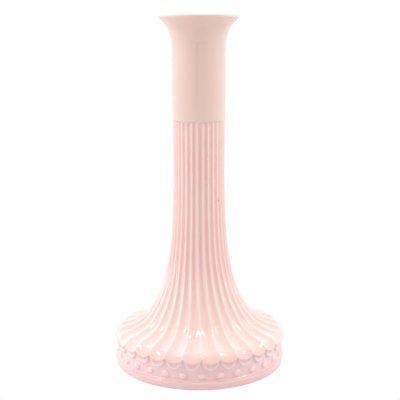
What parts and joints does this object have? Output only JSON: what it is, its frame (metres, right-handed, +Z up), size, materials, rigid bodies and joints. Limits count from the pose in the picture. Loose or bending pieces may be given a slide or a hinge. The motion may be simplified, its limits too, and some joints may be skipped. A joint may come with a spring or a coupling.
{
  "type": "bud vase",
  "caption": "Tall pressed glass bud vase with a smooth flared neck, fluted stem, scalloped skirt, beaded band and round foot ring.",
  "frame": {"origin": "centre of the foot, on the plane the vase stands on", "axes": "+Z up the vase's axis of symmetry, -Y the front, where a flute ridge runs down the middle"},
  "size_m": [0.1134, 0.1132, 0.229],
  "materials": {
    "smooth_glass": "fire-polished opaque pink glass",
    "fluted_glass": "glossy pressed opaque pink glass",
    "base_glass": "glossy pressed opaque pink glass, ground underneath"
  },
  "bodies": {
    "root": {"flared_neck": "smooth_glass", "fluted_stem": "fluted_glass", "well_floor": "smooth_glass", "scalloped_skirt": "fluted_glass", "bead_band": "base_glass", "foot_ring": "base_glass"}
  },
  "joints": []
}
